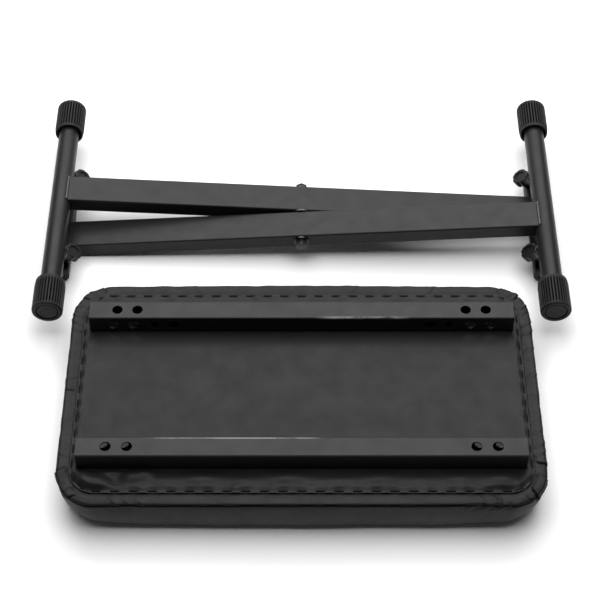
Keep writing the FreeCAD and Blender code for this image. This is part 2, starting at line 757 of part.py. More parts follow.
for leg, half_turn in LEGS.items():
    place = leg_place(half_turn)
    leg_tube(leg, place)
    foot_tube(leg, place)
    top_bar(leg, place)
    weld_beads(leg, place)
    pivot_bush(leg, place)
    for side in (-1, 1):
        # a half turn about Z swaps the leg's front and rear ends
        is_front = (side < 0) == (half_turn == 0)
        end = f"{leg}_{'front' if is_front else 'rear'}"
        foot_cap(f"foot_cap_{end}", place, side)
        pin_guide(f"pin_guide_{end}", place, side)
        locking_pin(f"locking_pin_{end}", place, side)
        star_knob(f"knob_{end}", place, side)
        knob_stud(f"knob_stud_{end}", place, side)


# ---------------------------------------------------------------- pivot
# The bolt's head is on the rear leg, its nut on the front leg, and a washer is between the legs.

pivot_place = FreeCAD.Placement(vector(0, dim("frame_shift"), PIVOT_Z), UP_PLACE)
washer_face = "(dims.leg_gap / 2 + dims.leg_wide + (dims.leg_gap - dims.spacer_thick) / 2)"
nut_face = f"({washer_face} + dims.washer_thick)"

shank_length = f"(2 * {nut_face} + dims.nut_high + dims.bolt_tip)"
shank = rod("bolt_shank", "dims.bolt_r", shank_length, "0",
            f"-{nut_face} - dims.nut_high - dims.bolt_tip", "0", ALONG_Y)


def crowned_hexagon(name, high, start, crown_at):
    """A hexagon along y from start, a corner uppermost; a sphere centred at crown_at crowns it."""
    prism = doc.addObject("Part::Prism", name + "_hexagon")
    prism.Polygon = 6
    prism.Placement.Rotation = ALONG_Y.multiply(turn((0, 0, 1), 30))
    bind(prism, Circumradius="dims.nut_side / sqrt(3)", Height=high, pos_y=start)
    crown = doc.addObject("Part::Sphere", name + "_crown")
    bind(crown, Radius="dims.crown_r", pos_y=crown_at)
    crowned = doc.addObject("Part::Common", name + "_crowned")
    crowned.Base = prism
    crowned.Tool = crown
    return crowned


head = crowned_hexagon("bolt_head", "dims.bolt_head_high", nut_face,
                       f"{nut_face} + dims.bolt_head_high * dims.crown_in")
frame_node(fuse("bolt_shape", [shank, head]), "pivot_bolt", pivot_place)

nut = crowned_hexagon("nut", "dims.nut_high", f"-{nut_face} - dims.nut_high",
                      f"-{nut_face} - dims.nut_high * dims.crown_in")
nut_bore = rod("nut_bore", "dims.bolt_r", "dims.nut_high + 4", "0",
               f"-{nut_face} - dims.nut_high - 2", "0", ALONG_Y)
frame_node(cut("nut_shape", nut, nut_bore), "pivot_nut", pivot_place)


def washer(name, radius, thick, middle):
    outside = along_y(name + "_disc", radius, thick, "0", middle, "0")
    inside = along_y(name + "_hole", "dims.bolt_r", f"{thick} + 4", "0", middle, "0")
    return cut(name, outside, inside)


outer = [
    washer(f"outer_washer_{'ab'[side > 0]}", "dims.washer_r", "dims.washer_thick",
           f"{side} * ({washer_face} + dims.washer_thick / 2)")
    for side in (-1, 1)
]
frame_node(group("outer_washer_set", outer), "pivot_washers", pivot_place)
frame_node(washer("spacer", "dims.spacer_r", "dims.spacer_thick", "0"), "pivot_spacer", pivot_place)


# ---------------------------------------------------------------- checks and files

doc.recompute()
for thing in doc.Objects:
    if {"Invalid", "Error"} & set(thing.State):
        raise RuntimeError(f"{thing.Name} ({thing.Label}) failed: {thing.State}")
for thing in subparts:
    if thing.Shape.isNull() or not thing.Shape.isValid():
        raise RuntimeError(f"{thing.Label} has no valid shape")

os.makedirs("parts", exist_ok=True)
for thing in subparts:
    thing.Shape.exportStep(f"parts/{thing.Label}.step")
print(len(subparts), "sub-parts written")
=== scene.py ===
"""Looks of the folding piano bench: the padded seat face down, its folded frame behind it.

Metres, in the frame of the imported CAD. Small sizes are written in millimetres as n * MM.
"""

import math

import bpy
import numpy as np
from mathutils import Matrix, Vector, kdtree


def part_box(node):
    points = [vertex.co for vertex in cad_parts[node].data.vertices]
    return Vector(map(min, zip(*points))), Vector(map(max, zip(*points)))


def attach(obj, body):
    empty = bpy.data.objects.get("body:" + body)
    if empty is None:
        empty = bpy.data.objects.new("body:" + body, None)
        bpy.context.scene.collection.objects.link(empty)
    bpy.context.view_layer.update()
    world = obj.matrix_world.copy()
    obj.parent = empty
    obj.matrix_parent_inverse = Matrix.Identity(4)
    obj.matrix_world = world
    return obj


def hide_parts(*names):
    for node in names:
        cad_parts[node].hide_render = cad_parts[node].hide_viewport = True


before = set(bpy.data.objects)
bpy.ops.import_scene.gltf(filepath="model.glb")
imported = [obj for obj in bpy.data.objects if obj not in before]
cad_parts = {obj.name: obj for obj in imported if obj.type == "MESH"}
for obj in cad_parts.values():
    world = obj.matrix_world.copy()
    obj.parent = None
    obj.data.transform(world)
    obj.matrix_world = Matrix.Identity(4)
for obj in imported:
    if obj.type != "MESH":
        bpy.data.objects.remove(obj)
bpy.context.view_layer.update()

MM = 0.001
rng = np.random.default_rng(7)
rail_low, rail_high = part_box("seat_rail_front")
rear_rail_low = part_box("seat_rail_rear")[0]
board_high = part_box("seat_board")[1]


# ------------------------------------------------------------------ node helpers


class Shader:
    """A material under construction, with short calls for the nodes that it needs."""

    def __init__(self, name):
        self.material = bpy.data.materials.new(name)
        self.material.use_nodes = True
        self.nodes = self.material.node_tree.nodes
        self.links = self.material.node_tree.links
        self.bsdf = self.nodes["Principled BSDF"]
        self.place = self.nodes.new("ShaderNodeTexCoord").outputs["Object"]

    def link(self, source, target):
        self.links.new(source, target)

    def set(self, **values):
        for name, value in values.items():
            self.bsdf.inputs[name.replace("_", " ")].default_value = value

    def stretched(self, x=1.0, y=1.0, z=1.0):
        """The object's coordinates, scaled along each axis."""
        node = self.nodes.new("ShaderNodeMapping")
        node.inputs["Scale"].default_value = (x, y, z)
        self.link(self.place, node.inputs["Vector"])
        return node.outputs["Vector"]

    def axis(self, name):
        """One of the object's coordinates."""
        node = self.nodes.new("ShaderNodeSeparateXYZ")
        self.link(self.place, node.inputs["Vector"])
        return node.outputs[name]

    def window(self, value, low, high, soft):
        """1 where value lies between low and high, falling to 0 over a soft border."""
        rise = self.ramp(value, low - soft, low)
        fall = self.ramp(value, high, high + soft, 1.0, 0.0)
        return self.maths("MULTIPLY", rise, fall)

    def noise(self, scale, detail=3.0, rough=0.55, at=None):
        node = self.nodes.new("ShaderNodeTexNoise")
        node.inputs["Scale"].default_value = scale
        node.inputs["Detail"].default_value = detail
        node.inputs["Roughness"].default_value = rough
        self.link(self.place if at is None else at, node.inputs["Vector"])
        return node.outputs["Fac"]

    def cells(self, scale):
        node = self.nodes.new("ShaderNodeTexVoronoi")
        node.inputs["Scale"].default_value = scale
        self.link(self.place, node.inputs["Vector"])
        return node.outputs["Distance"]

    def ramp(self, value, low, high, start=0.0, end=1.0):
        """Maps value from low..high to start..end, clamped."""
        node = self.nodes.new("ShaderNodeMapRange")
        node.inputs["From Min"].default_value = low
        node.inputs["From Max"].default_value = high
        node.inputs["To Min"].default_value = start
        node.inputs["To Max"].default_value = end
        self.link(value, node.inputs["Value"])
        return node.outputs["Result"]

    def uneven(self, scale, detail, start=0.0, end=1.0):
        """A noise spread over start..end."""
        return self.ramp(self.noise(scale, detail), 0.3, 0.7, start, end)

    def maths(self, operation, first, second=0.0):
        node = self.nodes.new("ShaderNodeMath")
        node.operation = operation
        for socket, value in zip(node.inputs, (first, second)):
            if isinstance(value, (int, float)):
                socket.default_value = value
            else:
                self.link(value, socket)
        return node.outputs["Value"]

    def mix(self, factor, dark, light):
        node = self.nodes.new("ShaderNodeMix")
        node.data_type = "RGBA"
        for socket, colour in ((node.inputs["A"], dark), (node.inputs["B"], light)):
            if isinstance(colour, tuple):
                socket.default_value = (*colour, 1.0)
            else:
                self.link(colour, socket)
        self.link(factor, node.inputs["Factor"])
        return node.outputs["Result"]

    def colour(self, source):
        self.link(source, self.bsdf.inputs["Base Color"])

    def roughness(self, source):
        self.link(source, self.bsdf.inputs["Roughness"])

    def bump(self, height, strength, distance, under=None):
        node = self.nodes.new("ShaderNodeBump")
        node.inputs["Strength"].default_value = strength
        node.inputs["Distance"].default_value = distance
        self.link(height, node.inputs["Height"])
        if under is not None:
            self.link(under, node.inputs["Normal"])
        self.link(node.outputs["Normal"], self.bsdf.inputs["Normal"])
        return node.outputs["Normal"]


def grey(level, warm=0.0):
    """A near-neutral linear colour."""
    return (level * (1 + warm), level, level * (1 - warm))


# ------------------------------------------------------------------ materials

COAT_LEVEL = 0.009        # the powder coat's grey
COAT_SPECULAR = 0.185
EDGE_STREAK_LEVEL = 0.16         # the lighter grey along part of a rail's top edge
EDGE_STREAK_IN = 0.8 * MM        # from a rail's side to the middle of the lighter line
VINYL_LEVEL = 0.008
LOW_SHEEN_LEVEL = 0.021       # painted highlight: the vinyl lighter low on the sides
CREASE_SHADE_LEVEL = 0.001      # painted shade: the vinyl in the bottom of a crease


def orange_peel(s):
    """The fine and the broad waviness of a powder coat, and its gloss."""
    peel = s.bump(s.noise(900, 2), 0.10, 0.3 * MM)
    s.bump(s.noise(130, 2), 0.06, 0.6 * MM, peel)
    s.set(Specular_IOR_Level=COAT_SPECULAR)


def powder_coat(name, level=COAT_LEVEL, rough=0.40):
    """Black powder coat on steel: orange peel, faint dust and rub marks."""
    s = Shader(name)
    dust = s.noise(26, 6, 0.7)
    fine = s.noise(240, 3)
    tone = s.mix(s.ramp(dust, 0.35, 0.75), grey(level * 0.90), grey(level * 1.12))
    s.colour(s.mix(s.ramp(fine, 0.62, 0.80, 0.0, 0.35), tone, grey(level * 1.6)))
    s.roughness(s.uneven(55, 5, rough - 0.05, rough + 0.08))
    orange_peel(s)
    return s.material


def rail_coat(name, streak_edge, streak_from, streak_to):
    """A rail's powder coat, lighter along a part of one top edge."""
    s = Shader(name)
    dust = s.ramp(s.noise(30, 6, 0.7), 0.35, 0.75)
    tone = s.mix(dust, grey(COAT_LEVEL * 0.9), grey(COAT_LEVEL * 1.12))
    scratch = s.noise(60, 4, 0.6, s.stretched(0.12, 1.0, 1.0))
    tone = s.mix(s.ramp(scratch, 0.66, 0.72, 0.0, 0.4), tone, grey(COAT_LEVEL * 2.2))
    # a lighter, patchy streak along part of one top edge
    along = s.window(s.axis("X"), streak_from, streak_to, 25 * MM)
    across = s.window(s.axis("Y"), streak_edge - 1.3 * MM, streak_edge + 1.3 * MM, 0.7 * MM)
    high = s.ramp(s.axis("Z"), rail_high[2] - 2.0 * MM, rail_high[2] - 1.0 * MM)
    patchy = s.ramp(s.noise(90, 5, 0.7, s.stretched(0.35, 1.0, 1.0)), 0.36, 0.56)
    edge_streak = s.maths("MULTIPLY", s.maths("MULTIPLY", along, across), s.maths("MULTIPLY", high, patchy))
    s.colour(s.mix(edge_streak, tone, grey(EDGE_STREAK_LEVEL)))
    s.roughness(s.uneven(48, 5, 0.34, 0.46))
    orange_peel(s)
    return s.material


def weld_coat():
    """Powder coat over a weld, with the bead's ripples showing through."""
    s = Shader("weld_coat")
    s.colour(s.mix(s.noise(220, 4), grey(0.008), grey(0.016)))
    s.roughness(s.uneven(180, 3, 0.34, 0.5))
    s.bump(s.noise(500, 3), 0.35, 0.4 * MM)
    return s.material


def vinyl():
    """Black upholstery vinyl with a fine leather grain, and a painted highlight low on the sides.

    The mesh's attribute "crease" says how deep in shade each point lies, and the vinyl is painted darker
    and less glossy there as painted shade.
    """
    s = Shader("cover_vinyl")
    pores = s.cells(850)
    tone = s.mix(s.uneven(9, 4), grey(VINYL_LEVEL * 0.92, 0.02), grey(VINYL_LEVEL * 1.08))
    # painted highlight: the vinyl lighter low on the sides
    low_sheen = s.window(s.axis("Z"), 2 * MM, 20 * MM, 22 * MM)
    low_sheen = s.maths("MULTIPLY", low_sheen, s.ramp(s.noise(22, 4), 0.25, 0.6, 0.75, 1.0))
    tone = s.mix(low_sheen, tone, grey(LOW_SHEEN_LEVEL, 0.05))
    crease = s.nodes.new("ShaderNodeAttribute")
    crease.attribute_name = "crease"
    tone = s.mix(s.ramp(pores, 0.1, 0.6), grey(VINYL_LEVEL * 0.8), tone)
    # painted shade: the vinyl near black where the crease attribute is high
    s.colour(s.mix(crease.outputs["Fac"], tone, grey(CREASE_SHADE_LEVEL)))
    s.roughness(s.uneven(70, 5, 0.42, 0.54))
    grain = s.bump(s.noise(160, 5, 0.65), 0.10, 0.5 * MM)
    s.bump(pores, 0.16, 0.25 * MM, grain)
    # painted highlight: more gloss low on the sides
    gloss = s.maths("ADD", 0.135, s.maths("MULTIPLY", low_sheen, 0.22))
    # painted shade: less gloss in the creases
    unshaded_share = s.maths("SUBTRACT", 1.0, s.maths("MULTIPLY", crease.outputs["Fac"], 0.9))
    s.link(s.maths("MULTIPLY", gloss, unshaded_share), s.bsdf.inputs["Specular IOR Level"])
    return s.material


def lining_cloth():
    """The thin black sheet under the seat, smooth with a faint pressed grain."""
    s = Shader("lining_cloth")
    s.colour(s.mix(s.uneven(7, 5), grey(0.008), grey(0.011)))
    s.roughness(s.uneven(40, 4, 0.44, 0.56))
    soft = s.bump(s.noise(60, 3), 0.12, 1.0 * MM)
    s.bump(s.cells(900), 0.10, 0.2 * MM, soft)
    s.set(Specular_IOR_Level=0.14)
    return s.material


def moulded_rubber(name, low, high):
    """Soft black rubber, with painted shade down in the grooves of a cap that lies between low and high.
    """
    s = Shader(name)
    middle_x, middle_z = (low[0] + high[0]) / 2, (low[2] + high[2]) / 2
    out_x = s.maths("SUBTRACT", s.axis("X"), middle_x)
    out_z = s.maths("SUBTRACT", s.axis("Z"), middle_z)
    square = s.maths("ADD", s.maths("MULTIPLY", out_x, out_x), s.maths("MULTIPLY", out_z, out_z))
    radius = s.maths("SQRT", square)
    outside = (high[0] - low[0]) / 2
    ridge = s.ramp(radius, outside - 0.9 * MM, outside - 0.25 * MM)
    ends = s.window(s.axis("Y"), low[1] + 5 * MM, high[1] - 5 * MM, 1.5 * MM)
    # painted shade in the grooves between the ribs: darker, and with less gloss
    groove = s.maths("MULTIPLY", s.maths("SUBTRACT", 1.0, ridge), ends)
    tone = s.mix(s.ramp(s.noise(38, 6, 0.7), 0.35, 0.7), grey(0.007), grey(0.013))
    s.colour(s.mix(groove, tone, grey(0.0012)))
    s.roughness(s.uneven(90, 4, 0.48, 0.62))
    s.bump(s.noise(700, 3), 0.12, 0.25 * MM)
    s.link(s.maths("SUBTRACT", 0.19, s.maths("MULTIPLY", groove, 0.17)),
           s.bsdf.inputs["Specular IOR Level"])
    return s.material


def moulded_plastic():
    """The knobs' hard black plastic."""
    s = Shader("moulded_plastic")
    s.colour(s.mix(s.uneven(60, 5), grey(0.005), grey(0.009)))
    s.roughness(s.uneven(120, 4, 0.26, 0.36))
    s.bump(s.noise(1100, 2), 0.10, 0.2 * MM)
    s.set(Specular_IOR_Level=0.26)
    return s.material


def staple_wire():
    """Near-black wire with little gloss, as painted shade of staples pressed deep into the vinyl."""
    s = Shader("staple_wire")
    s.colour(s.mix(s.noise(400, 2), grey(0.0016), grey(0.003)))
    s.roughness(s.uneven(700, 2, 0.5, 0.7))
    s.bump(s.noise(1500, 2), 0.1, 0.1 * MM)
    s.set(Specular_IOR_Level=0.04)
    return s.material


def bare_metal(name, level, rough):
    """Bright or dark plated steel with a fine grain."""
    s = Shader(name)
    s.colour(s.mix(s.uneven(80, 5), grey(level * 0.85, 0.02), grey(level)))
    s.roughness(s.uneven(300, 3, rough - 0.06, rough + 0.08))
    s.bump(s.noise(1500, 2, 0.5), 0.08, 0.1 * MM)
    s.set(Metallic=1.0)
    return s.material


def plywood():
    """The board inside the seat, grained along its length."""
    s = Shader("plywood")
    grain = s.noise(30, 8, 0.6, s.stretched(0.12, 1.0, 6.0))
    s.colour(s.mix(s.ramp(grain, 0.3, 0.7), (0.36, 0.23, 0.12), (0.55, 0.40, 0.24)))
    s.roughness(s.ramp(grain, 0.3, 0.7, 0.6, 0.8))
    s.bump(grain, 0.2, 0.3 * MM)
    return s.material


def dress(material, *nodes):
    """Gives CAD nodes a material."""
    for node in nodes:
        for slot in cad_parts[node].material_slots:
            slot.link = "DATA"
            slot.material = material


def dress_frame():
    """The materials of the CAD nodes that no piece replaces."""
    coat = powder_coat("frame_coat")
    weld = weld_coat()
    plastic = moulded_plastic()
    bright = bare_metal("zinc_plate", 0.62, 0.28)
    dark_zinc = bare_metal("black_zinc", 0.055, 0.34)
    pin_steel = bare_metal("pin_steel", 0.09, 0.42)
    for leg in "ab":
        dress(coat, f"leg_tube_{leg}", f"foot_tube_{leg}", f"top_bar_{leg}")
        dress(bright, f"pivot_bush_{leg}")
        for end in ("front", "rear"):
            cap = f"foot_cap_{leg}_{end}"
            dress(moulded_rubber(f"{cap}_rubber", *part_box(cap)), cap)
            dress(plastic, f"knob_{leg}_{end}", f"pin_guide_{leg}_{end}")
            dress(bright, f"knob_stud_{leg}_{end}")
            dress(pin_steel, f"locking_pin_{leg}_{end}")
        dress(weld, f"weld_beads_{leg}")
    dress(dark_zinc, "pivot_bolt", "pivot_nut", "pivot_washers", "pivot_spacer")
    dress(bright, "tee_nuts")
    dress(rail_coat("front_rail_coat", rail_high[1] - EDGE_STREAK_IN, -0.150, 0.0), "seat_rail_front")
    dress(rail_coat("rear_rail_coat", rear_rail_low[1] + EDGE_STREAK_IN, 0.040, 0.100), "seat_rail_rear")
    dress(powder_coat("screw_coat", 0.03, 0.3), "rail_screws")
    dress(staple_wire(), "staples")
    dress(plywood(), "seat_board")


# ------------------------------------------------------------------ rounded outlines


class Outline:
    """A rounded rectangle, sampled once all round, that can be drawn at any inset.

    Stations run anticlockwise seen from above, from the middle of the front edge. `s` is the
    length along the outline at inset 0.
    """

    def __init__(self, half_x, half_y, corner, step):
        self.half_x, self.half_y, self.corner = half_x, half_y, corner
        straight_x, straight_y = half_x - corner, half_y - corner
        arc = corner * math.pi / 2
        # each run: its length, then either the corners a side goes from and to, as signs,
        # or a corner's signs and the angle in degrees at which its arc starts
        runs = [
            (straight_x, ("side", (0, -1), (1, -1))),
            (arc, ("corner", (1, -1), -90)),
            (2 * straight_y, ("side", (1, -1), (1, 1))),
            (arc, ("corner", (1, 1), 0)),
            (2 * straight_x, ("side", (1, 1), (-1, 1))),
            (arc, ("corner", (-1, 1), 90)),
            (2 * straight_y, ("side", (-1, 1), (-1, -1))),
            (arc, ("corner", (-1, -1), 180)),
            (straight_x, ("side", (-1, -1), (0, -1))),
        ]
        self.stations = []
        run_start = 0.0
        for length, data in runs:
            count = max(2, round(length / step))
            for number in range(count):
                fraction = number / count
                self.stations.append((data, fraction, run_start + fraction * length))
            run_start += length
        self.length = run_start
        self.s = np.array([station[2] for station in self.stations])

    def at_inset(self, inset, least=2 * MM, corner=None):
        """Points of the outline moved inwards by an inset."""
        radius = max((self.corner if corner is None else corner) - inset, least)
        reach_x = self.half_x - inset - radius
        reach_y = self.half_y - inset - radius
        points = []
        for (kind, first, second), fraction, _ in self.stations:
            if kind == "corner":
                angle = math.radians(second + 90 * fraction)
                points.append((first[0] * reach_x + radius * math.cos(angle),
                               first[1] * reach_y + radius * math.sin(angle)))
                continue
            x = reach_x * (first[0] * (1 - fraction) + second[0] * fraction)
            y = reach_y * (first[1] * (1 - fraction) + second[1] * fraction)
            if first[1] == second[1]:
                y = first[1] * (self.half_y - inset)
            else:
                x = first[0] * (self.half_x - inset)
            points.append((x, y))
        return np.array(points)

    def s_of(self, x, y):
        """The length along the outline of the station nearest to a point at inset 0."""
        ring = self.at_inset(0.0)
        return self.s[np.argmin(np.hypot(ring[:, 0] - x, ring[:, 1] - y))]

    def gap(self, s0):
        """Signed distance along the outline from s0, taken the short way round."""
        return (self.s - s0 + self.length / 2) % self.length - self.length / 2


def smooth(values, low, high):
    """0 below low, 1 above high, smooth between."""
    t = np.clip((values - low) / (high - low), 0, 1)
    return t * t * (3 - 2 * t)


def through(points, spacing):
    """A smooth curve through given points, resampled at an even spacing."""
    points = np.array(points, float)
    padded = np.vstack([2 * points[0] - points[1], points, 2 * points[-1] - points[-2]])
    fine = []
    for k in range(len(points) - 1):
        p0, p1, p2, p3 = padded[k:k + 4]
        for t in np.linspace(0, 1, 24, endpoint=False):
            fine.append(0.5 * (2 * p1 + (p2 - p0) * t + (2 * p0 - 5 * p1 + 4 * p2 - p3) * t ** 2
                               + (3 * p1 - p0 - 3 * p2 + p3) * t ** 3))
    fine.append(points[-1])
    fine = np.array(fine)
    run = np.concatenate([[0], np.cumsum(np.linalg.norm(np.diff(fine, axis=0), axis=1))])
    even = np.linspace(0, run[-1], max(2, round(run[-1] / spacing)) + 1)
    return np.column_stack([np.interp(even, run, fine[:, c]) for c in (0, 1)])


def ring_mesh(name, grid, caps=(True, True)):
    """A mesh from rings of points: grid is rings x stations x 3. Caps close the first and last."""
    rings, stations, _ = grid.shape
    faces = []
    for i in range(rings - 1):
        for j in range(stations):
            k = (j + 1) % stations
            faces.append((i * stations + j, i * stations + k,
                          (i + 1) * stations + k, (i + 1) * stations + j))
    if caps[0]:
        faces.append(tuple(range(stations))[::-1])
    if caps[1]:
        faces.append(tuple((rings - 1) * stations + j for j in range(stations)))
    mesh = bpy.data.meshes.new(name)
    mesh.from_pydata(grid.reshape(-1, 3).tolist(), [], faces)
    mesh.validate()
    piece = bpy.data.objects.new(name, mesh)
    bpy.context.collection.objects.link(piece)
    for polygon in mesh.polygons:
        polygon.use_smooth = True
    return piece


def grid_normals(grid):
    """Unit normals of a ring grid, which point out of the form."""
    along = np.roll(grid, -1, axis=1) - np.roll(grid, 1, axis=1)
    across = np.gradient(grid, axis=0)
    normal = np.cross(along, across)
    return normal / np.maximum(np.linalg.norm(normal, axis=2, keepdims=True), 1e-12)


def waves(s, length, orders, height):
    """A gentle wave round a closed outline, with seeded phases."""
    total = np.zeros_like(s)
    for order in orders:
        total += np.sin(2 * math.pi * order * s / length + rng.uniform(0, 2 * math.pi))
    return total * height / math.sqrt(len(orders))


# ------------------------------------------------------------------ the seat's cover

cover_low, cover_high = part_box("seat_cover")
SEAT_MIDDLE = (Vector(cover_low) + Vector(cover_high)) / 2
SEAT_HALF_X = (cover_high[0] - cover_low[0]) / 2
SEAT_HALF_Y = (cover_high[1] - cover_low[1]) / 2
SEAT_CORNER = 44 * MM
lining_low, lining_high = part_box("underside_lining")
LINING_EDGE = SEAT_HALF_X - (lining_high[0] - lining_low[0]) / 2    # the lining's inset
LINING_TOP = lining_high[2]
STATION_STEP = 1.2 * MM   # spacing of the cover's grid along the outline
RING_STEP = 1.6 * MM      # and across it
HEM_INSET = 4.4 * MM      # the crease where the side meets the folded-under strip
HEM_HEIGHT = 47.9 * MM
LOW_CORNER = 54 * MM      # corner radius of the outline near the floor
SIDE_BOW = 2.5 * MM       # how much the long sides bow out near the floor
CORNER_LIFT = 8 * MM      # how far the sitting face's edge rises at the corners
LIFT_ALONG = 70 * MM      # how far from a corner the lift reaches along the outline,
LIFT_IN = 75 * MM         # towards the middle
LIFT_UP = 53 * MM         # and up the side
BOARD_CLEAR = 0.3 * MM    # gap between the board and the vinyl over it

# inset and height in mm of the cover's section: the side, from the sitting face to the hem
SIDE_SECTION = [
    (62, 0.0), (40, 0.05), (24, 0.25), (13, 1.0), (6.0, 3.0), (2.3, 7.0), (0.6, 13), (0.0, 21),
    (0.2, 30), (0.6, 38), (1.2, 44.0), (2.0, 47.8),
]
# and the strip, from the hem to under the lining
STRIP_SECTION = [(2.7, 49.6), (4.4, 50.7), (12.0, 51.2), (15.5, 50.8), (18.5, 50.2), (28.0, 50.2)]
FACE_INSETS = (150, 120, 90)    # rings of the flat sitting face, in mm


def cover_grid(outline):
    """The cover's plain form: rings from the middle of the sitting face to under the lining."""
    face = np.array([[inset, 0.0] for inset in FACE_INSETS]) * MM
    side = through(SIDE_SECTION, RING_STEP / MM) * MM
    hem = np.array([[HEM_INSET, HEM_HEIGHT]])
    strip = through(STRIP_SECTION, RING_STEP / MM) * MM
    section = np.vstack([face, side, hem, strip])
    corners = [outline.s_of(x * SEAT_HALF_X, y * SEAT_HALF_Y) for x in (-1, 1) for y in (-1, 1)]
    near = sum(np.exp(-(outline.gap(s0) / LIFT_ALONG) ** 2) for s0 in corners)
    rings = []
    for inset, height in section:
        low = 1 - smooth(height, 4 * MM, 44 * MM)
        ring = outline.at_inset(inset, corner=SEAT_CORNER + low * (LOW_CORNER - SEAT_CORNER))
        bow = 0.5 - (ring[:, 0] / SEAT_HALF_X) ** 2
        edge = (np.abs(ring[:, 1]) / SEAT_HALF_Y) ** 2
        ring[:, 1] += np.sign(ring[:, 1]) * low * SIDE_BOW * bow * edge
        inward = 1 - smooth(inset, 4 * MM, LIFT_IN)
        lift = CORNER_LIFT * near * inward * (1 - height / LIFT_UP) ** 2
        rings.append(np.column_stack([ring, height + lift]))
    return np.array(rings), section


CLOTH_CELL = 6 * MM       # size of the faces of the copy that is inflated
CLOTH_FRAMES = 20
HELD_ABOVE = 49 * MM      # the strip above this height stays where it is,
HELD_IN = 4 * MM          # from this far inside the hem
SWELL_LIMIT = 3 * MM      # the most that a point moves
NEIGHBOURS = 6            # points of the copy that move a point of the grid


def swell(grid):
    """Inflates a remeshed copy of the closed form with Cloth, and moves the grid with it."""
    source = ring_mesh("swell_source", grid)
    bpy.context.view_layer.objects.active = source
    for thing in bpy.context.selected_objects:
        thing.select_set(False)
    source.select_set(True)
    remesh = source.modifiers.new("remesh", "REMESH")
    remesh.mode = "VOXEL"
    remesh.voxel_size = CLOTH_CELL
    bpy.ops.object.modifier_apply(modifier=remesh.name)
    before = np.array([v.co[:] for v in source.data.vertices])
    held = source.vertex_groups.new(name="held")
    for vertex in source.data.vertices:
        x, y, z = vertex.co
        inset = min(SEAT_HALF_X - abs(x), SEAT_HALF_Y - abs(y))
        weight = 1.0 if z > HELD_ABOVE and inset > HEM_INSET + HELD_IN else 0.0
        held.add([vertex.index], weight, "REPLACE")
    cloth = source.modifiers.new("cloth", "CLOTH")
    settings = cloth.settings
    settings.quality = 5
    settings.mass = 0.4
    settings.tension_stiffness = 12
    settings.compression_stiffness = 12
    settings.shear_stiffness = 6
    settings.bending_stiffness = 1.5
    settings.use_pressure = True
    settings.uniform_pressure_force = 4.0
    settings.vertex_group_mass = "held"
    settings.effector_weights.gravity = 0.0
    cloth.collision_settings.use_collision = False
    cloth.point_cache.frame_start = 1
    cloth.point_cache.frame_end = CLOTH_FRAMES
    for number in range(1, CLOTH_FRAMES + 1):
        bpy.context.scene.frame_set(number)
    bpy.ops.object.modifier_apply(modifier=cloth.name)
    bpy.context.scene.frame_set(1)
    move = np.array([v.co[:] for v in source.data.vertices]) - before
    size = np.linalg.norm(move, axis=1, keepdims=True)
    move *= np.minimum(1.0, SWELL_LIMIT / np.maximum(size, 1e-9))
    tree = kdtree.KDTree(len(before))
    for index, point in enumerate(before):
        tree.insert(point, index)
    tree.balance()
    moved = grid.copy().reshape(-1, 3)
    for index, point in enumerate(grid.reshape(-1, 3)):
        near = tree.find_n(Vector(point), NEIGHBOURS)
        weights = np.array([1 / (distance + 1 * MM) for _, _, distance in near])
        offset = sum(w * move[i] for w, (_, i, _) in zip(weights, near)) / weights.sum()
        moved[index] += offset
    bpy.data.objects.remove(source, do_unlink=True)
    moved[:, 2] = np.maximum(moved[:, 2], 0.0)
    return moved.reshape(grid.shape)


def along_run(run, inner, outer, fade_in, fade_out):
    """A column that is 1 from inner to outer along the run, and fades outside."""
    return (smooth(run, inner - fade_in, inner) * (1 - smooth(run, outer, outer + fade_out)))[:, None]


def pleat(outline, run, place, slant, bend, height, reach, inner, outer):
    """A fold of vinyl that laps over its neighbour: a step that dies away along the outline.

    place is the crease's point on the seat. slant and bend lean and curve the crease with the
    run, the length across the section, and it shows from inner to outer of the run. A negative
    reach laps the other way. Gives the fold's height and how deep in shade its crease lies.
    """
    lean = (slant * run + bend * run ** 2)[:, None]
    side = (outline.gap(outline.s_of(*place))[None, :] - lean) * np.sign(reach)
    lap = smooth(side, -0.5 * MM, 0.9 * MM) * np.exp(-np.maximum(side, 0) / abs(reach))
    groove = np.exp(-((side + 1.0 * MM) / (1.0 * MM)) ** 2)
    shade = np.exp(-((side + 0.4 * MM) / (1.1 * MM)) ** 2) * min(1, height / (1.5 * MM))
    window = along_run(run, inner, outer, 3 * MM, 7 * MM)
    return window * height * (1.2 * lap - 0.8 * groove), window * shade


def ridge(outline, run, place, slant, height, width, inner, outer):
    """A soft wrinkle across the strip, or a dent where the height is negative."""
    off_line = outline.gap(outline.s_of(*place))[None, :] - slant * run[:, None]
    window = along_run(run, inner, outer, 4 * MM, 8 * MM)
    return window * height * np.exp(-(off_line / width) ** 2)


# The relief of the cover. A place is in metres from the seat's middle; heights, widths and
# lengths are in mm, a slant is a plain ratio, and a bend is per metre.

# corner pleats: place, slant, bend, height, reach, inner and outer end
PLEATS = [
    ((0.249, -0.134), -0.35, 14, 2.0, 9, 0, 18),
    ((0.262, -0.098), -0.20, 0, 1.2, 8, 0, 11),
    ((0.260, -0.113), -0.55, 0, 1.6, -9, 0, 15),
    ((0.241, -0.143), 0.25, 0, 1.1, -7, 2, 15),
    ((-0.252, -0.133), 0.30, -30, 1.9, 10, 0, 10),
    ((-0.243, -0.142), -0.75, 0, 1.1, -7, 3, 10),
    ((-0.262, -0.104), 0.55, 0, 1.3, 9, 0, 9),
    ((-0.232, 0.150), 0.20, 0, 1.2, 8, 0, 10),
    ((-0.254, 0.134), 0.30, 0, 0.9, -7, 0, 9),
    ((0.232, 0.150), -0.35, 0, 1.2, -9, 0, 9),
    ((0.254, 0.134), 0.20, 0, 1.1, 8, 0, 9),
]
